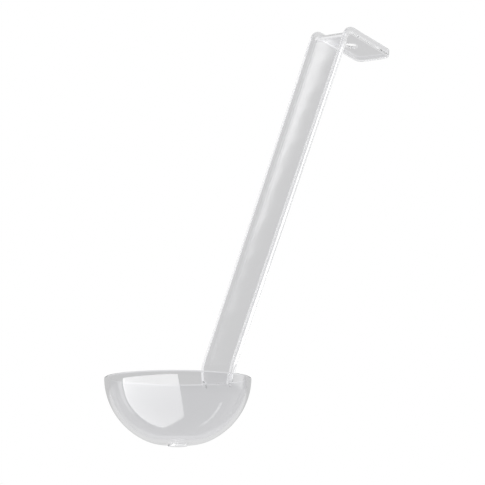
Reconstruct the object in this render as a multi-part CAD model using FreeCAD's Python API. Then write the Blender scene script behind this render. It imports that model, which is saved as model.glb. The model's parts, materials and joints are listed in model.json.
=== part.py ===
"""Clear one-piece serving ladle, moulded in one shot with its handle and hook.

The frame is in millimetres with +Z up.  The origin is the middle of the gate boss's
underside, the ladle's lowest point.  The bowl's axis is Z, the handle leans back
towards +Y, and the YZ plane is the plane of symmetry.

The real ladle is a single moulding.  Each moulded section is a solid of its own here,
and neighbouring sections meet face to face.
"""
import FreeCAD, Part
import math
import os

# Bowl
rim_radius = 44.0
bowl_wall = 2.2
bowl_depth = 40.3
bowl_curve_depth = 42.0
floor_blend_radius = 30.0
boss_radius = 5.8
boss_height = 1.0
dimple_depth = 0.4

# Channel section of the neck, the handle, the bend and the hook
channel_depth = 5.0
web_thickness = 2.0
flange_thickness = 1.8

# Neck, which stands upright on the rim
neck_height = 9.6
neck_set_in = 0.6
neck_radius = 20.0
neck_foot_width = 20.6
neck_top_width = 23.2
root_depth = 5.0

# Handle
handle_lean = 28.2
handle_run = 266.0
handle_top_width = 27.4

# Bend and hook
hook_droop = 9.3
hook_run = 54.5
bend_radius = 11.0
hook_corner_radius = 6.0
hole_radius = 4.2
hole_from_corner = 25.6

AXIS_X = FreeCAD.Vector(1, 0, 0)
AXIS_Z = FreeCAD.Vector(0, 0, 1)
rim_height = boss_height + bowl_depth
ladle_width = 2 * rim_radius
neck_turn = handle_lean
bend_turn = 90.0 + hook_droop - handle_lean
web_front = channel_depth - web_thickness


def at(y, z, x=0.0):
    """A point given by its place in the side view."""
    return FreeCAD.Vector(x, y, z)


def heading(turn):
    """Unit vector along the channel where it leans back from upright by turn degrees."""
    angle = math.radians(turn)
    return at(math.sin(angle), math.cos(angle))


def behind(turn):
    """Unit vector from the channel's open side towards its web."""
    angle = math.radians(turn)
    return at(math.cos(angle), -math.sin(angle))


def face_of(edges):
    """A flat face from edges that follow one another."""
    return Part.Face(Part.Wire(edges))


def polygon_face(points):
    """A flat face with straight sides."""
    return Part.Face(Part.makePolygon(points + [points[0]]))


def straight_band(start, turn, length, near, far):
    """Side-view face of a straight stretch, between two depths of the channel."""
    along = heading(turn) * length
    first = start + behind(turn) * near
    last = start + behind(turn) * far
    return polygon_face([first, first + along, last + along, last])


def curved_band(start, turn, radius, sweep, near, far):
    """Side-view face of a bent stretch whose open edge has the given radius."""
    centre = start + behind(turn) * radius
    ends = []
    for depth in (near, far):
        turns = (turn, turn + sweep / 2, turn + sweep)
        ends.append([centre - behind(angle) * (radius - depth) for angle in turns])
    outer, inner = ends
    return face_of([
        Part.Arc(*outer).toShape(),
        Part.LineSegment(outer[2], inner[2]).toShape(),
        Part.Arc(inner[2], inner[1], inner[0]).toShape(),
        Part.LineSegment(inner[0], outer[0]).toShape(),
    ])


def spread(face, width):
    """A side-view face made solid, to the given width across the middle plane."""
    solid = face.extrude(AXIS_X * width)
    solid.translate(AXIS_X * (-width / 2))
    return solid


def envelope(inset):
    """The neck and handle as seen from the front, made deep: their width at each height."""
    half = [neck_foot_width / 2 - inset, neck_top_width / 2 - inset, handle_top_width / 2 - inset]
    below = rim_height - root_depth
    levels = [below, rim_height, rim_height + neck_height, handle_top.z]
    halves = [half[0], half[0], half[1], half[2]]
    right = [at(-rim_radius, z, x) for z, x in zip(levels, halves)]
    left = [at(-rim_radius, z, -x) for z, x in zip(reversed(levels), reversed(halves))]
    reach = ladle_width + handle_top.y
    return polygon_face(right + left).extrude(at(reach, 0.0))


def flanges(band, outer, inner):
    """Left and right flange of one stretch, from its full-depth side-view face."""
    walls = spread(band, ladle_width).common(outer).cut(inner)
    left, right = sorted(walls.Solids, key=lambda solid: solid.CenterOfMass.x)
    return left, right


def web(band, inner):
    """Web of one stretch, between its flanges."""
    return spread(band, ladle_width).common(inner).Solids[0]


# The open edge of the channel, followed from the rim to the hook's end
rim_point = at(rim_radius - neck_set_in - channel_depth, rim_height)
neck_tangent = neck_radius * math.tan(math.radians(neck_turn / 2))
bend_tangent = bend_radius * math.tan(math.radians(bend_turn / 2))
neck_corner = rim_point + heading(0.0) * neck_height
neck_arc_start = neck_corner - heading(0.0) * neck_tangent
handle_start = neck_corner + heading(handle_lean) * neck_tangent
hook_corner = neck_corner + heading(handle_lean) * handle_run
bend_start = hook_corner - heading(handle_lean) * bend_tangent
hook_turn = handle_lean + bend_turn
hook_start = hook_corner + heading(hook_turn) * bend_tangent
handle_length = handle_run - neck_tangent - bend_tangent
handle_top = bend_start


def bowl_outline(radius, curve_depth, floor_depth):
    """Half of the bowl's section: down the curved side, then along the flat floor."""
    floor_level = rim_height - floor_depth
    floor_radius = radius * math.sqrt(1.0 - (floor_depth / curve_depth) ** 2)
    centre = at(0.0, rim_height)
    rim = at(radius, rim_height)
    floor_edge = at(floor_radius, floor_level)
    floor_middle = at(0.0, floor_level)
    ellipse = Part.Ellipse(rim, at(0.0, rim_height - curve_depth), centre)
    first = ellipse.parameter(rim)
    last = ellipse.parameter(floor_edge)
    if last < first:
        last += 2 * math.pi
    if last - first > math.pi:
        first, last = last - 2 * math.pi, first
    side = ellipse.toShape(first, last)
    lines = [(floor_edge, floor_middle), (floor_middle, centre), (centre, rim)]
    edges = [side] + [Part.LineSegment(start, end).toShape() for start, end in lines]
    return face_of(Part.sortEdges(edges)[0])


def turned_bowl(radius, curve_depth, floor_depth, blend):
    """A solid bowl shape with the corner between side and floor blended."""
    solid = bowl_outline(radius, curve_depth, floor_depth).revolve(at(0.0, 0.0), AXIS_Z, 360)
    circles = [edge for edge in solid.Edges if edge.Closed]
    corner = min(circles, key=lambda edge: edge.CenterOfMass.z)
    return solid.makeFillet(blend, [corner])


def bowl_shape(inset):
    """The bowl's outside, or its hollow when inset by the wall."""
    return turned_bowl(rim_radius - inset, bowl_curve_depth - inset, bowl_depth - inset,
                       floor_blend_radius - inset)


def make_bowl():
    """The open bowl, with a shallow dimple in the middle of its floor."""
    dimple_floor = boss_height + bowl_wall - dimple_depth
    dimple = Part.makeCylinder(boss_radius, bowl_wall, at(0.0, dimple_floor))
    return bowl_shape(0.0).cut(bowl_shape(bowl_wall)).cut(dimple)


def make_gate_boss():
    """The low round pad under the bowl that the ladle is set down on."""
    return Part.makeCylinder(boss_radius, boss_height)


def make_neck(outer, inner):
    """The upright stretch on the rim, with ribs that run down inside the bowl."""
    upright = neck_height - neck_tangent
    bands = {}
    for name, near in (("flange", 0.0), ("web", web_front)):
        low = straight_band(rim_point, 0.0, upright, near, channel_depth)
        high = curved_band(neck_arc_start, 0.0, neck_radius, neck_turn, near, channel_depth)
        bands[name] = (low, high)
    wall_line = rim_radius - bowl_wall / 2
    root = polygon_face([rim_point, at(wall_line, rim_height), at(wall_line, rim_height - root_depth)])
    hollow = bowl_shape(bowl_wall)
    low_pair = flanges(bands["flange"][0], outer, inner)
    high_pair = flanges(bands["flange"][1], outer, inner)
    root_pair = flanges(root, outer, inner)
    sides = []
    for low, high, rib in zip(low_pair, high_pair, root_pair):
        sides.append(low.fuse(high).fuse(rib.common(hollow)).removeSplitter())
    low_web = web(bands["web"][0], inner)
    high_web = web(bands["web"][1], inner)
    return low_web.fuse(high_web).removeSplitter(), sides[0], sides[1]


def make_handle(outer, inner):
    """The long straight stretch."""
    whole = straight_band(handle_start, handle_lean, handle_length, 0.0, channel_depth)
    back = straight_band(handle_start, handle_lean, handle_length, web_front, channel_depth)
    left, right = flanges(whole, outer, inner)
    return web(back, inner), left, right


def make_bend():
    """The rounded turn from the handle to the hook."""
    half = handle_top_width / 2
    whole = curved_band(bend_start, handle_lean, bend_radius, bend_turn, 0.0, channel_depth)
    back = curved_band(bend_start, handle_lean, bend_radius, bend_turn, web_front, channel_depth)
    wall = whole.extrude(AXIS_X * flange_thickness)
    left = wall.translated(AXIS_X * -half)
    right = wall.translated(AXIS_X * (half - flange_thickness))
    return spread(back, handle_top_width - 2 * flange_thickness), left, right


def hook_outline(inset, start, end):
    """The hook seen square on: straight sides and two rounded corners at its free end."""
    along = heading(hook_turn)
    half = handle_top_width / 2 - inset
    corner = hook_corner_radius - inset
    diagonal = corner * (1.0 - math.sqrt(0.5))

    def spot(x, distance):
        return hook_start + along * distance + AXIS_X * x

    left_side = spot(-half, end - corner)
    left_end = spot(corner - half, end)
    right_end = spot(half - corner, end)
    right_side = spot(half, end - corner)
    return face_of([
        Part.LineSegment(spot(-half, start), left_side).toShape(),
        Part.Arc(left_side, spot(diagonal - half, end - diagonal), left_end).toShape(),
        Part.LineSegment(left_end, right_end).toShape(),
        Part.Arc(right_end, spot(half - diagonal, end - diagonal), right_side).toShape(),
        Part.LineSegment(right_side, spot(half, start)).toShape(),
        Part.LineSegment(spot(half, start), spot(-half, start)).toShape(),
    ])


def make_hook():
    """The flat plate with its hanging hole, and the raised flange round three sides."""
    length = hook_run - bend_tangent
    down = behind(hook_turn)
    border = hook_outline(0.0, 0.0, length).extrude(down * channel_depth)
    well = hook_outline(flange_thickness, 0.0, length - flange_thickness).extrude(down * channel_depth)
    plate = well.copy()
    plate.translate(down * web_front)
    plate = plate.common(border)
    hole_centre = hook_start + heading(hook_turn) * (hole_from_corner - bend_tangent)
    plate = plate.cut(Part.makeCylinder(hole_radius, channel_depth, hole_centre, down))
    walls = border.cut(well)
    side_run = straight_band(hook_start, hook_turn, length - hook_corner_radius, 0.0, channel_depth)
    straight = spread(side_run, ladle_width)
    left, right = sorted(walls.common(straight).Solids, key=lambda solid: solid.CenterOfMass.x)
    end = walls.cut(straight)
    return plate, left, right, end


def main():
    """Build every section and write each to a file of its own."""
    outer = envelope(0.0)
    inner = envelope(flange_thickness)
    parts = {"bowl": make_bowl(), "gate_boss": make_gate_boss()}
    stretches = {"neck": make_neck(outer, inner), "handle": make_handle(outer, inner), "bend": make_bend()}
    for stretch, (plate, left, right) in stretches.items():
        parts[stretch + "_web"] = plate
        parts[stretch + "_flange_left"] = left
        parts[stretch + "_flange_right"] = right
    plate, left, right, end = make_hook()
    parts["hook_plate"] = plate
    parts["hook_flange_left"] = left
    parts["hook_flange_right"] = right
    parts["hook_flange_end"] = end
    os.makedirs("parts", exist_ok=True)
    for name, shape in parts.items():
        if len(shape.Solids) != 1 or not shape.isValid():
            raise ValueError(name + " is not one sound solid")
        shape.Solids[0].exportStep("parts/" + name + ".step")


main()
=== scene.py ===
"""Looks and lighting for the clear one-piece serving ladle.

Everything is in metres in the CAD's own frame: +Z up along the bowl's axis, +Y from
the bowl to the hook, and X across the handle.  The whole ladle is one clear moulding,
so one seamless body stands for every CAD section.
"""
import json
import math

import bmesh
import bpy
from mathutils import Matrix, Vector


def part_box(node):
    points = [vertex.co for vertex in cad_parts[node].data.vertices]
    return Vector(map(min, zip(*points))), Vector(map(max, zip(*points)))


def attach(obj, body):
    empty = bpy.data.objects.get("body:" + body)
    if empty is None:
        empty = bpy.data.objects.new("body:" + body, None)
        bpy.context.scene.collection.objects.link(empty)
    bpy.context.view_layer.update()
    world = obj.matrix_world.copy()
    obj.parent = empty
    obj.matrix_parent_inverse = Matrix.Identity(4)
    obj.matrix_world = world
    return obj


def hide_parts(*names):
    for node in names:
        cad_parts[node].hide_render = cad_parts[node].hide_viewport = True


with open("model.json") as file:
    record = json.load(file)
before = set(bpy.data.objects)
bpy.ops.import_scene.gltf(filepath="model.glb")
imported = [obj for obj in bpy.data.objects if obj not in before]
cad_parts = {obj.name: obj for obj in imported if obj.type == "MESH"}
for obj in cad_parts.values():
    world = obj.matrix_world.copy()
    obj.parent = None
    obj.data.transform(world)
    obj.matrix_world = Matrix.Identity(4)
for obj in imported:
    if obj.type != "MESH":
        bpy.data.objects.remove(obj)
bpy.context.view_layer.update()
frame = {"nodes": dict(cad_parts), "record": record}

MM = 0.001

# Thicknesses of the moulding
WALL = 2.2 * MM
WEB = 2.0 * MM
FLANGE = 1.8 * MM
CHANNEL = 5.0 * MM

# Rounded edges, inside fillets and the hook's plan corners
TIP_ROUND = 0.55 * MM
BACK_ROUND = 0.7 * MM
INSIDE_FILLET = 0.5 * MM
RIM_ROUND = 0.95 * MM
NECK_FILLET = 3.0 * MM
HOLE_ROUND = 0.35 * MM
HOOK_CORNER = 6.0 * MM
BOSS_ROUND = 0.3 * MM

# Bowl curve: how much deeper the side's curve runs than the floor, and the blend between
CURVE_EXTRA = 1.7 * MM
FLOOR_BLEND = 30.0 * MM

# The dimple in the floor: its depth, and where its edge, lip and foot lie round the boss's radius
DIMPLE = 0.4 * MM
DIMPLE_CLEAR = 0.35 * MM
DIMPLE_EDGE = 0.25 * MM
DIMPLE_LIP = 0.1 * MM
DIMPLE_FOOT = 0.3 * MM

# Where the boss's side meets the underside: a little above it and a little outside it
BOSS_LIFT = 0.02 * MM
BOSS_CLEAR = 0.25 * MM

# The neck's root in the bowl's wall: its depth, and how it thins and sinks on the way down
ROOT_DEPTH = 5.0 * MM
ROOT_THIN = 0.1
ROOT_SINK = 0.25 * MM

# Gap between an edge's rounding and the line that keeps the flat beside it flat
SUPPORT = 0.12 * MM

# Halvings that find where the curve meets the blend, then points along the bowl's curve and
# blend, and round the rim's edge and the channel's fillet
HALVINGS = 50
CURVE_STEPS = 44
BLEND_STEPS = 20
RIM_STEPS = 9
FILLET_STEPS = 8

# Points round the bowl beside the neck, across the neck and round the rest, and round the hole
BESIDE_NECK_STEPS = 22
ACROSS_NECK_STEPS = 14
BOWL_STEPS = 150
HOLE_STEPS = 96

# Points along the root, neck, neck's bend, handle, hook's bend and hook, and round its corners
SPAN_STEPS = (6, 6, 14, 24, 25, 8)
CORNER_STEPS = 12

# Edges sharper than this stay crisp, and how strongly big faces hold the shading flat
CRISP_ANGLE = math.radians(40.0)
FLAT_WEIGHT = 80

# The plastic: its faint cool tint, waviness and wear
PLASTIC_TINT = (0.965, 0.966, 0.978, 1.0)
PLASTIC_IOR = 1.5
FLOW_SCALE = 45.0
FLOW_DETAIL = 1.0
FLOW_HEIGHT = 0.03 * MM
WEAR_SCALE = 160.0
WEAR_DETAIL = 3.0
POLISH = 0.018
POLISH_CHANGE = 0.02

# The grey sheet behind the ladle: its direction, and the half angles of its soft edge
BACKDROP_WAY = Vector((-0.594, 0.791, 0.147)).normalized()
BACKDROP = (26.0, 40.0)

# Sines of the height angles between which grey gives way to the bright paper all round
LOW_PAPER = (0.17, 0.34)

# The low sheet: corners, brightness, soft edge, and its dimmer near edge
LOW_SHEET = [Vector((-0.018, -0.021, -0.06)), Vector((0.047, -0.032, -0.06)),
             Vector((3.2, -4.3, -0.06)), Vector((-4.3, -2.6, -0.06))]
LOW_GLOW = 7.2
LOW_FEATHER = 0.006
LOW_NEAR = (4.6, 0.3)

# The left sheet: the ends of its working edge, how it spreads away, brightness and soft edge
LEFT_EDGE = (Vector((-0.510, -0.364, 0.450)), Vector((-0.425, -0.028, 0.951)))
LEFT_SPREAD = Vector((-0.98, 0.077, 0.115)) * 0.08
LEFT_GLOW = 3.0
LEFT_FEATHER = 0.008

# The right sheet: compass and height angles, distance, half sizes, brightness and soft edge
RIGHT_AZIMUTH = math.radians(143.0)
RIGHT_ELEVATION = math.radians(12.0)
RIGHT_DISTANCE = 0.9
RIGHT_HALF_WIDTH = 0.3
RIGHT_HALF_HEIGHT = 0.5
RIGHT_GLOW = 2.0
RIGHT_FEATHER = 0.1

# How bright the grey and the paper are, and how bright the floor looks in the plastic
WHITE = (1.0, 1.0, 1.0, 1.0)
GREY = 0.59
PAPER = 0.92
FLOOR_CARD = 0.74

# The floor
FLOOR_HEIGHT = -0.5
FLOOR_RADIUS = 12.0
FLOOR_SIDES = 128
FLOOR_COLOUR = (0.9, 0.9, 0.9, 1.0)
FLOOR_ROUGHNESS = 0.8

# Camera: compass angle, distance and height from the rim's middle, then how it turns, and its
# sensor's width and lens in millimetres
CAMERA_AZIMUTH = math.radians(36.908)
CAMERA_DISTANCE = 1.8142577
CAMERA_HEIGHT = -0.1871435
CAMERA_TURN = math.radians(1.218)
CAMERA_TILT = math.radians(8.4273)
CAMERA_ROLL = math.radians(0.0584)
SENSOR = 36.0
LENS = 226.26861773195878
CAMERA_REACH = 100.0

# Light bounces, enough for light that runs along inside the flanges
BOUNCES = 48


def side_point(y, z):
    """A point on the plane of symmetry."""
    return Vector((0.0, y, z))


def heading(turn):
    """Direction along the channel where it leans back from upright by that angle."""
    return side_point(math.sin(turn), math.cos(turn))


def behind(turn):
    """Direction from the channel's open side to its web."""
    return side_point(math.cos(turn), -math.sin(turn))


def spaced(first, last, count):
    """Evenly spaced values, both ends included."""
    return [first + (last - first) * step / (count - 1) for step in range(count)]


def quarter(centre, radius, start, end, count=6):
    """Points on an arc, by angles in degrees."""
    angles = [math.radians(angle) for angle in spaced(start, end, count)]
    return [(centre[0] + radius * math.cos(a), centre[1] + radius * math.sin(a)) for a in angles]


def mesh_object(name, body):
    """A smooth-shaded object from finished mesh code, which is used up."""
    bmesh.ops.recalc_face_normals(body, faces=body.faces)
    for face in body.faces:
        face.smooth = True
    mesh = bpy.data.meshes.new(name)
    body.to_mesh(mesh)
    body.free()
    made = bpy.data.objects.new(name, mesh)
    bpy.context.scene.collection.objects.link(made)
    return made


def turned(section, angles, rise=None):
    """A closed body: the half section turned round the Z axis, and raised by rise(x, y, z)."""
    body = bmesh.new()
    rings = []
    for radius, height in section:
        if radius == 0.0:
            rings.append([body.verts.new((0.0, 0.0, height))])
            continue
        ring = []
        for angle in angles:
            x, y = radius * math.cos(angle), radius * math.sin(angle)
            ring.append(body.verts.new((x, y, height + rise(x, y, height) if rise else height)))
        rings.append(ring)
    for lower, upper in zip(rings, rings[1:]):
        for step in range(len(angles)):
            after = (step + 1) % len(angles)
            if len(lower) == 1:
                body.faces.new((lower[0], upper[after], upper[step]))
            elif len(upper) == 1:
                body.faces.new((lower[step], lower[after], upper[0]))
            else:
                body.faces.new((lower[step], lower[after], upper[after], upper[step]))
    return body


# Measures from the CAD

_, bowl_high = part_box("bowl")
_, boss_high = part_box("gate_boss")
neck_low, neck_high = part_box("neck_flange_left")
handle_low, handle_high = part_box("handle_flange_left")
bend_low, bend_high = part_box("bend_flange_left")
_, hook_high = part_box("hook_flange_left")
_, end_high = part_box("hook_flange_end")
mounts = {mount["name"]: mount for mount in frame["record"]["mounts"]}

rim_height = bowl_high.z
rim_radius = bowl_high.x
boss_radius = boss_high.x
boss_height = boss_high.z

rim_start = side_point(neck_low.y, rim_height)
handle_start = side_point(handle_low.y, neck_high.z)
handle_end = side_point(bend_low.y, handle_high.z)
hook_start = side_point(bend_high.y, hook_high.z)
handle_middle = (handle_start + handle_end) / 2
lean = math.atan2(handle_end.y - handle_start.y, handle_end.z - handle_start.z)
underside = Vector(mounts["hook_underside"]["axis"])
hook_turn = math.radians(90.0) + math.atan2(-underside.y, -underside.z)
neck_radius = (handle_start.y - rim_start.y) / (1.0 - math.cos(lean))
bend_radius = (hook_start.y - handle_end.y) / (math.cos(lean) - math.cos(hook_turn))
upright = handle_start.z - rim_height - neck_radius * math.sin(lean)
handle_length = (handle_end - handle_start).length
hook_length = (end_high.y - hook_start.y) / math.sin(hook_turn)

foot_half = FLANGE - neck_high.x
neck_half = -neck_low.x
top_half = -handle_low.x


class Stretch:
    """One straight or bent stretch of the channel's open edge."""

    def __init__(self, start, turn, length, radius=None):
        self.start = start
        self.turn = turn
        self.length = length
        self.radius = radius

    def at(self, along, depth):
        """The point that far along the stretch and that deep behind its open edge."""
        if self.radius is None:
            return self.start + heading(self.turn) * along + behind(self.turn) * depth
        turn = self.turn + along / self.radius
        centre = self.start + behind(self.turn) * self.radius
        return centre - behind(turn) * (self.radius - depth)


stretches = [
    Stretch(rim_start, 0.0, upright),
    Stretch(rim_start + heading(0.0) * upright, 0.0, neck_radius * lean, neck_radius),
    Stretch(handle_start, lean, handle_length),
    Stretch(handle_end, lean, bend_radius * (hook_turn - lean), bend_radius),
    Stretch(hook_start, hook_turn, hook_length),
]


def channel_point(along, depth):
    """The side-view point that far along the whole channel, from the rim to the hook's end."""
    for stretch in stretches[:-1]:
        if along <= stretch.length:
            return stretch.at(along, depth)
        along -= stretch.length
    return stretches[-1].at(along, depth)


def half_width(height):
    """Half of the channel's width at a height."""
    slope = (top_half - neck_half) / (handle_end.z - handle_start.z)
    corner_height = rim_height + upright + neck_radius * math.tan(lean / 2)
    corner_half = neck_half - slope * (handle_start.z - corner_height)
    if height <= rim_height:
        return foot_half
    if height <= corner_height:
        return foot_half + (corner_half - foot_half) * (height - rim_height) / (corner_height - rim_height)
    return min(corner_half + slope * (height - corner_height), top_half)


# The bowl

def bowl_curve(radius, curve_depth, floor_depth, blend, first_depth):
    """Half section of the bowl, from just under the rim to the middle of the floor."""
    low, high = 0.0, math.radians(90.0)
    for _ in range(HALVINGS):
        angle = (low + high) / 2
        normal = Vector((-math.cos(angle) / radius, math.sin(angle) / curve_depth)).normalized()
        touch = Vector((radius * math.cos(angle), -curve_depth * math.sin(angle)))
        centre = touch + normal * blend
        if centre.y > blend - floor_depth:
            low = angle
        else:
            high = angle
    curve = spaced(math.asin(first_depth / curve_depth), angle, CURVE_STEPS)
    points = [(radius * math.cos(a), rim_height - curve_depth * math.sin(a)) for a in curve]
    turn = math.atan2(-normal.y, -normal.x)
    arc = spaced(turn, math.radians(-90.0), BLEND_STEPS)[1:]
    points += [(centre.x + blend * math.cos(a), rim_height + centre.y + blend * math.sin(a)) for a in arc]
    return points


def bowl_section():
    """The whole closed half section, from the middle of the underside to the middle of the inside."""
    floor_depth = rim_height - boss_height
    outside = bowl_curve(rim_radius, floor_depth + CURVE_EXTRA, floor_depth, FLOOR_BLEND, RIM_ROUND)
    inside = bowl_curve(rim_radius - WALL, floor_depth + CURVE_EXTRA - WALL, floor_depth - WALL,
                        FLOOR_BLEND - WALL, RIM_ROUND)
    boss = [(0.0, 0.0), (boss_radius / 2, 0.0), (boss_radius - BOSS_ROUND - SUPPORT, 0.0)]
    boss += quarter((boss_radius - BOSS_ROUND, BOSS_ROUND), BOSS_ROUND, -90.0, 0.0)
    boss += [(boss_radius, boss_height + BOSS_LIFT)]
    outer_wall = [point for point in reversed(outside) if point[0] > boss_radius + BOSS_CLEAR]
    edge = rim_height - RIM_ROUND
    rim = quarter((outside[0][0] - RIM_ROUND, edge), RIM_ROUND, 0.0, 90.0, RIM_STEPS)[1:]
    rim += quarter((inside[0][0] + RIM_ROUND, edge), RIM_ROUND, 90.0, 180.0, RIM_STEPS)[:-1]
    inner_wall = [point for point in inside if point[0] > boss_radius + DIMPLE_CLEAR]
    floor = boss_height + WALL
    low = floor - DIMPLE
    dimple = [(boss_radius + DIMPLE_EDGE, floor), (boss_radius, floor - DIMPLE_LIP)]
    dimple += [(boss_radius - DIMPLE_LIP, low), (boss_radius - DIMPLE_FOOT, low)]
    dimple += [(boss_radius / 2, low), (0.0, low)]
    return boss + outer_wall + rim + inner_wall + dimple


def rim_rise(x, y, z):
    """How much the rim swells up beside the neck, in a fillet against each flange."""
    if y < 0.0:
        return 0.0
    outside = abs(x) - foot_half
    if outside >= NECK_FILLET or outside <= -FLANGE:
        return 0.0
    if outside > 0.0:
        rise = NECK_FILLET - math.sqrt(NECK_FILLET ** 2 - (NECK_FILLET - outside) ** 2)
    else:
        rise = NECK_FILLET * (1.0 - (outside / FLANGE) ** 2)
    share = max(0.0, 1.0 - (rim_height - z) / ROOT_DEPTH)
    return rise * share * share


def make_bowl():
    """The bowl and its boss, with more points round the rim where the neck stands on it."""
    near_neck = math.degrees(math.asin((foot_half + NECK_FILLET + MM) / rim_radius))
    inner_neck = math.degrees(math.asin((foot_half - FLANGE - MM) / rim_radius))
    right = spaced(90.0 - near_neck, 90.0 - inner_neck, BESIDE_NECK_STEPS)
    middle = spaced(90.0 - inner_neck, 90.0 + inner_neck, ACROSS_NECK_STEPS)[1:-1]
    left = spaced(90.0 + inner_neck, 90.0 + near_neck, BESIDE_NECK_STEPS)
    rest = spaced(90.0 + near_neck, 360.0 + 90.0 - near_neck, BOWL_STEPS)[1:-1]
    angles = [math.radians(angle) for angle in right + middle + left + rest]
    return mesh_object("ladle", turned(bowl_section(), angles, rim_rise))


# The channel: neck, handle, bend and hook

def channel_profile():
    """One side of the channel's section, as (inward from the outline, depth), back to front."""
    front = CHANNEL - WEB
    points = [(BACK_ROUND + SUPPORT, CHANNEL)]
    points += quarter((BACK_ROUND, CHANNEL - BACK_ROUND), BACK_ROUND, 90.0, 180.0)
    points += [(0.0, CHANNEL - BACK_ROUND - SUPPORT), (0.0, TIP_ROUND + SUPPORT)]
    points += quarter((TIP_ROUND, TIP_ROUND), TIP_ROUND, 180.0, 270.0)
    points += quarter((FLANGE - TIP_ROUND, TIP_ROUND), TIP_ROUND, 270.0, 360.0)
    points += [(FLANGE, TIP_ROUND + SUPPORT), (FLANGE, front - INSIDE_FILLET - SUPPORT)]
    points += quarter((FLANGE + INSIDE_FILLET, front - INSIDE_FILLET), INSIDE_FILLET,
                      180.0, 90.0, FILLET_STEPS)
    points += [(FLANGE + INSIDE_FILLET + SUPPORT, front)]
    return points


def channel_outline():
    """The left side of the channel's outline in plan: (x, along, inward direction)."""
    marks = [-ROOT_DEPTH, 0.0]
    for stretch in stretches:
        marks.append(marks[-1] + stretch.length)
    handle_top = marks[4]
    marks[-1] -= HOOK_CORNER
    stations = []
    for first, last, count in zip(marks, marks[1:], SPAN_STEPS):
        stations += spaced(first, last, count)[:-1]
    outline = []
    for along in stations + marks[-1:]:
        half = top_half if along > handle_top else half_width(channel_point(max(along, 0.0), 0.0).z)
        outline.append((-half, along, (1.0, 0.0)))
    centre = (HOOK_CORNER - top_half, marks[-1])
    for angle in spaced(180.0, 90.0, CORNER_STEPS)[1:]:
        c, s = math.cos(math.radians(angle)), math.sin(math.radians(angle))
        outline.append((centre[0] + HOOK_CORNER * c, centre[1] + HOOK_CORNER * s, (-c, -s)))
    return outline


def placed(x, along, depth):
    """The channel's plan bent into its real shape, and squeezed into the bowl's wall below the rim."""
    if along >= 0.0:
        spot = channel_point(along, depth)
        return Vector((x, spot.y, spot.z))
    share = -along / ROOT_DEPTH
    middle = math.sqrt((rim_radius - WALL / 2 - ROOT_SINK * share) ** 2 - x * x)
    squeezed = middle + (depth - CHANNEL / 2) * ROOT_THIN
    return Vector((x, (rim_start.y + depth) * (1.0 - share) + squeezed * share, rim_height + along))


def make_channel():
    """The neck, handle, bend and hook as one closed tray."""
    profile = channel_profile()
    body = bmesh.new()
    sides = []
    for sign in (1.0, -1.0):
        rows = []
        for x, along, inward in channel_outline():
            rows.append([body.verts.new(placed(sign * (x + inward[0] * o), along + inward[1] * o, depth))
                         for o, depth in profile])
        sides.append(rows)
    left, right = sides
    for rows in sides:
        for lower, upper in zip(rows, rows[1:]):
            for step in range(len(profile) - 1):
                body.faces.new((lower[step], lower[step + 1], upper[step + 1], upper[step]))
    for step in range(len(profile) - 1):
        body.faces.new((left[-1][step], left[-1][step + 1], right[-1][step + 1], right[-1][step]))
    for edge in (0, -1):
        for index in range(len(left) - 1):
            body.faces.new((left[index][edge], left[index + 1][edge],
                            right[index + 1][edge], right[index][edge]))
    body.faces.new(left[0] + list(reversed(right[0])))
    return mesh_object("channel", body)


def make_hole_cutter():
    """A spool that cuts the hanging hole and rounds both of its edges."""
    bore = mounts["hanging_hole"]
    flare = bore["dims"]["r_mm"] * MM + HOLE_ROUND
    reach = bore["dims"]["length_mm"] * MM / 2
    section = [(0.0, -reach - MM), (flare, -reach - MM)]
    section += [(flare - x, z) for x, z in quarter((0.0, HOLE_ROUND - reach), HOLE_ROUND, -90.0, 0.0)]
    section += [(flare - x, z) for x, z in quarter((0.0, reach - HOLE_ROUND), HOLE_ROUND, 0.0, 90.0)]
    section += [(flare, reach + MM), (0.0, reach + MM)]
    angles = spaced(0.0, math.radians(360.0), HOLE_STEPS + 1)[:-1]
    body = turned(section, angles)
    turn = Vector((0.0, 0.0, 1.0)).rotation_difference(Vector(bore["axis"])).to_matrix()
    bmesh.ops.rotate(body, verts=body.verts, cent=(0.0, 0.0, 0.0), matrix=turn)
    bmesh.ops.translate(body, verts=body.verts, vec=Vector(bore["pos_m"]))
    return mesh_object("hole_cutter", body)


def drop_folded(mesh):
    """Removes flaps of no thickness: pairs of faces on the same corners."""
    body = bmesh.new()
    body.from_mesh(mesh)
    sharing = {}
    for face in body.faces:
        sharing.setdefault(tuple(sorted(vert.index for vert in face.verts)), []).append(face)
    folded = [face for faces in sharing.values() if len(faces) > 1 for face in faces]
    bmesh.ops.delete(body, geom=folded, context="FACES")
    body.to_mesh(mesh)
    body.free()


def combine(whole, tool, operation):
    """Joins the tool to the whole, or cuts it away, and removes the tool."""
    step = whole.modifiers.new("combine", "BOOLEAN")
    step.operation = operation
    step.object = tool
    step.solver = "EXACT"
    evaluated = whole.evaluated_get(bpy.context.evaluated_depsgraph_get())
    mesh = bpy.data.meshes.new_from_object(evaluated)
    drop_folded(mesh)
    whole.modifiers.clear()
    old = whole.data
    whole.data = mesh
    bpy.data.meshes.remove(old)
    bpy.data.objects.remove(tool)


ladle = make_bowl()
combine(ladle, make_channel(), "UNION")
combine(ladle, make_hole_cutter(), "DIFFERENCE")
ladle.data.set_sharp_from_angle(angle=CRISP_ANGLE)
weigh = ladle.modifiers.new("even shading", "WEIGHTED_NORMAL")
weigh.keep_sharp = True
weigh.weight = FLAT_WEIGHT


# Materials

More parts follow.
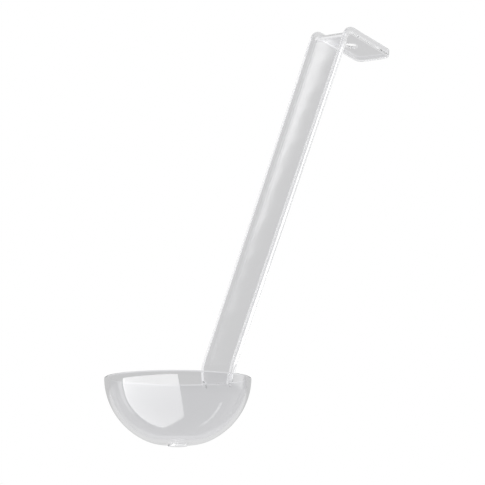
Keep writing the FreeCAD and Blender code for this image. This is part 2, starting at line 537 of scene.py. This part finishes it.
class Shade:
    """A shader value that can be used in ordinary sums, or the start of a tree."""

    def __init__(self, tree, socket=None):
        self.tree = tree
        self.socket = socket

    def node(self, kind, settings, values, output=0):
        """Adds one node: its settings first, then its socket values or links."""
        made = self.tree.nodes.new(kind)
        for name, value in settings.items():
            setattr(made, name, value)
        for name, value in values.items():
            if isinstance(value, Shade):
                self.tree.links.new(value.socket, made.inputs[name])
            else:
                made.inputs[name].default_value = value
        return Shade(self.tree, made.outputs[output] if made.outputs else None)

    def worked(self, operation, *others, clamp=False):
        """The result of one sum on this value and the others."""
        values = dict(enumerate((self,) + others))
        return self.node("ShaderNodeMath", {"operation": operation, "use_clamp": clamp}, values)

    def __add__(self, other):
        return self.worked("ADD", other)

    def __sub__(self, other):
        return self.worked("SUBTRACT", other)

    def __mul__(self, other):
        return self.worked("MULTIPLY", other)

    def __rsub__(self, other):
        return (self * -1.0) + other

    __radd__ = __add__
    __rmul__ = __mul__

    def smaller(self, other):
        """The smaller of the two values."""
        return self.worked("MINIMUM", other)

    def larger(self, other):
        """The larger of the two values."""
        return self.worked("MAXIMUM", other)

    def clamped(self):
        """The value kept between 0 and 1."""
        return self.worked("ADD", 0.0, clamp=True)


def material_start(name):
    """An empty material and the start of its tree."""
    material = bpy.data.materials.new(name)
    material.use_nodes = True
    material.node_tree.nodes.clear()
    return material, Shade(material.node_tree)


def blend(start, factor, first, second):
    """A shader that goes from the first to the second as the factor goes from 0 to 1."""
    return start.node("ShaderNodeMixShader", {}, {0: factor, 1: first, 2: second})


def ray_is(start, kind):
    """1 for light rays of that kind, and otherwise 0."""
    return start.node("ShaderNodeLightPath", {}, {}, kind)


def clear_plastic():
    """Polished clear moulded plastic: faintly cool, and faintly wavy from the mould's flow."""
    material, start = material_start("clear_plastic")
    place = start.node("ShaderNodeTexCoord", {}, {}, "Object")
    flow = start.node("ShaderNodeTexNoise", {}, {"Vector": place, "Scale": FLOW_SCALE, "Detail": FLOW_DETAIL})
    wear = start.node("ShaderNodeTexNoise", {}, {"Vector": place, "Scale": WEAR_SCALE, "Detail": WEAR_DETAIL})
    ripple = start.node("ShaderNodeBump", {}, {"Strength": 1.0, "Distance": FLOW_HEIGHT, "Height": flow})
    shader = start.node("ShaderNodeBsdfPrincipled", {}, {
        "Base Color": PLASTIC_TINT,
        "Roughness": wear * POLISH_CHANGE + POLISH,
        "IOR": PLASTIC_IOR,
        "Transmission Weight": 1.0,
        "Normal": ripple,
    })
    start.node("ShaderNodeOutputMaterial", {}, {"Surface": shader})
    return material


ladle.data.materials.clear()
ladle.data.materials.append(clear_plastic())
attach(ladle, "root")
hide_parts(*sorted(frame["nodes"]))


# Studio

def softbox(name, corners, brightness, feather, near=None, screened=True):
    """A flat glowing sheet that fades towards its edges. It lights the ladle and isn't seen itself.

    It can be dimmer at its first edge: near is that brightness and how far it takes to rise.
    A screened sheet glows no brighter than the paper where it's seen through the plastic.
    """
    body = bmesh.new()
    body.faces.new([body.verts.new(corner) for corner in corners])
    sheet = mesh_object(name, body)
    facing_way = (corners[1] - corners[0]).cross(corners[2] - corners[0]).normalized()
    material, start = material_start(name)
    place = start.node("ShaderNodeTexCoord", {}, {}, "Object")
    insets = []
    for corner, following in zip(corners, corners[1:] + corners[:1]):
        inward = facing_way.cross(following - corner).normalized()
        along = start.node("ShaderNodeVectorMath", {"operation": "DOT_PRODUCT"},
                           {0: place, 1: inward}, "Value")
        insets.append(along - inward.dot(corner))
    to_edge = insets[0].smaller(insets[1]).smaller(insets[2]).smaller(insets[3])
    glow = start.node("ShaderNodeEmission", {}, {"Strength": brightness})
    if near is not None:
        dim = start.node("ShaderNodeEmission", {}, {"Strength": near[0]})
        glow = blend(start, (insets[0] * (1.0 / near[1])).clamped(), dim, glow)
    if screened:
        paper = start.node("ShaderNodeEmission", {}, {"Strength": PAPER})
        glow = blend(start, ray_is(start, "Is Transmission Ray"), glow, paper)
    clear = start.node("ShaderNodeBsdfTransparent", {}, {})
    faded = blend(start, (to_edge * (1.0 / feather)).clamped(), clear, glow)
    start.node("ShaderNodeOutputMaterial", {}, {"Surface": faded})
    sheet.data.materials.append(material)
    sheet.visible_camera = False
    sheet.visible_diffuse = False
    sheet.visible_shadow = False


def low_sheet():
    """A wide sheet under the bowl, towards the camera: the light patch on the bowl."""
    softbox("low_sheet", LOW_SHEET, LOW_GLOW, LOW_FEATHER, near=LOW_NEAR)


def left_top():
    """A long narrow sheet up on the left: the light band down the handle."""
    low, high = LEFT_EDGE
    corners = [low, high, high + LEFT_SPREAD, low + LEFT_SPREAD]
    softbox("left_top", corners, LEFT_GLOW, LEFT_FEATHER, screened=False)


def back_right():
    """A sheet behind on the right, square to the middle of the handle: the light on the flanges."""
    level = Vector((math.sin(RIGHT_AZIMUTH), -math.cos(RIGHT_AZIMUTH), 0.0))
    back = level * math.cos(RIGHT_ELEVATION) + Vector((0.0, 0.0, math.sin(RIGHT_ELEVATION)))
    across = Vector((-level.y, level.x, 0.0)) * RIGHT_HALF_WIDTH
    up = across.cross(-back).normalized() * RIGHT_HALF_HEIGHT
    middle = handle_middle + back * RIGHT_DISTANCE
    corners = [middle - across - up, middle + across - up, middle + across + up, middle - across + up]
    softbox("back_right", corners, RIGHT_GLOW, RIGHT_FEATHER)


def studio_world():
    """Plain white beyond the stage. The ladle sees bright paper above, and grey low down and behind it."""
    world = bpy.data.worlds.new("studio")
    world.use_nodes = True
    world.node_tree.nodes.clear()
    start = Shade(world.node_tree)
    look = start.node("ShaderNodeTexCoord", {}, {}, "Generated")
    nearness = start.node("ShaderNodeVectorMath", {"operation": "DOT_PRODUCT"},
                          {0: look, 1: BACKDROP_WAY}, "Value")
    inner, outer = [math.cos(math.radians(angle)) for angle in BACKDROP]
    ahead = ((nearness - outer) * (1.0 / (inner - outer))).clamped()
    height = start.node("ShaderNodeSeparateXYZ", {}, {"Vector": look}, "Z")
    low = ((LOW_PAPER[1] - height) * (1.0 / (LOW_PAPER[1] - LOW_PAPER[0]))).clamped()
    grey = start.node("ShaderNodeBackground", {}, {"Color": WHITE, "Strength": GREY})
    paper = start.node("ShaderNodeBackground", {}, {"Color": WHITE, "Strength": PAPER})
    white = start.node("ShaderNodeBackground", {}, {"Color": WHITE, "Strength": 1.0})
    around = blend(start, ahead.larger(low), paper, grey)
    direct = ray_is(start, "Is Camera Ray").larger(ray_is(start, "Is Diffuse Ray"))
    start.node("ShaderNodeOutputWorld", {}, {"Surface": blend(start, direct, around, white)})
    bpy.context.scene.world = world


def make_floor():
    """A wide plain pale floor, well below the ladle, which hangs free. In the plastic it looks grey."""
    body = bmesh.new()
    bmesh.ops.create_circle(body, cap_ends=True, segments=FLOOR_SIDES, radius=FLOOR_RADIUS)
    bmesh.ops.translate(body, verts=body.verts, vec=(0.0, 0.0, FLOOR_HEIGHT))
    floor = mesh_object("floor", body)
    material, start = material_start("floor_paper")
    paper = start.node("ShaderNodeBsdfPrincipled", {},
                       {"Base Color": FLOOR_COLOUR, "Roughness": FLOOR_ROUGHNESS})
    card = start.node("ShaderNodeEmission", {}, {"Strength": FLOOR_CARD})
    mixed = blend(start, ray_is(start, "Is Camera Ray"), card, paper)
    start.node("ShaderNodeOutputMaterial", {}, {"Surface": mixed})
    floor.data.materials.append(material)


studio_world()
low_sheet()
left_top()
back_right()
make_floor()


# Camera

def turned_towards(first, second, angle):
    """Both directions after turning the first towards the second."""
    c, s = math.cos(angle), math.sin(angle)
    return first * c + second * s, second * c - first * s


def aim_camera():
    """The camera, far off and a little below the rim, turned up towards the handle."""
    azimuth = CAMERA_AZIMUTH
    forward = Vector((-math.sin(azimuth), math.cos(azimuth), 0.0))
    right = Vector((math.cos(azimuth), math.sin(azimuth), 0.0))
    up = Vector((0.0, 0.0, 1.0))
    forward, right = turned_towards(forward, right, CAMERA_TURN)
    forward, up = turned_towards(forward, up, CAMERA_TILT)
    right, up = turned_towards(right, up, CAMERA_ROLL)
    data = bpy.data.cameras.new("camera")
    data.sensor_width = SENSOR
    data.lens = LENS
    data.clip_end = CAMERA_REACH
    camera = bpy.data.objects.new("camera", data)
    place = Vector((CAMERA_DISTANCE * math.sin(azimuth), -CAMERA_DISTANCE * math.cos(azimuth),
                    rim_height + CAMERA_HEIGHT))
    camera.matrix_world = Matrix((
        (right.x, up.x, -forward.x, place.x),
        (right.y, up.y, -forward.y, place.y),
        (right.z, up.z, -forward.z, place.z),
        (0.0, 0.0, 0.0, 1.0),
    ))
    bpy.context.scene.collection.objects.link(camera)
    bpy.context.scene.camera = camera


aim_camera()
bpy.context.scene.view_settings.view_transform = "Standard"
bpy.context.scene.cycles.max_bounces = BOUNCES
bpy.context.scene.cycles.transmission_bounces = BOUNCES
bpy.context.scene.cycles.glossy_bounces = BOUNCES
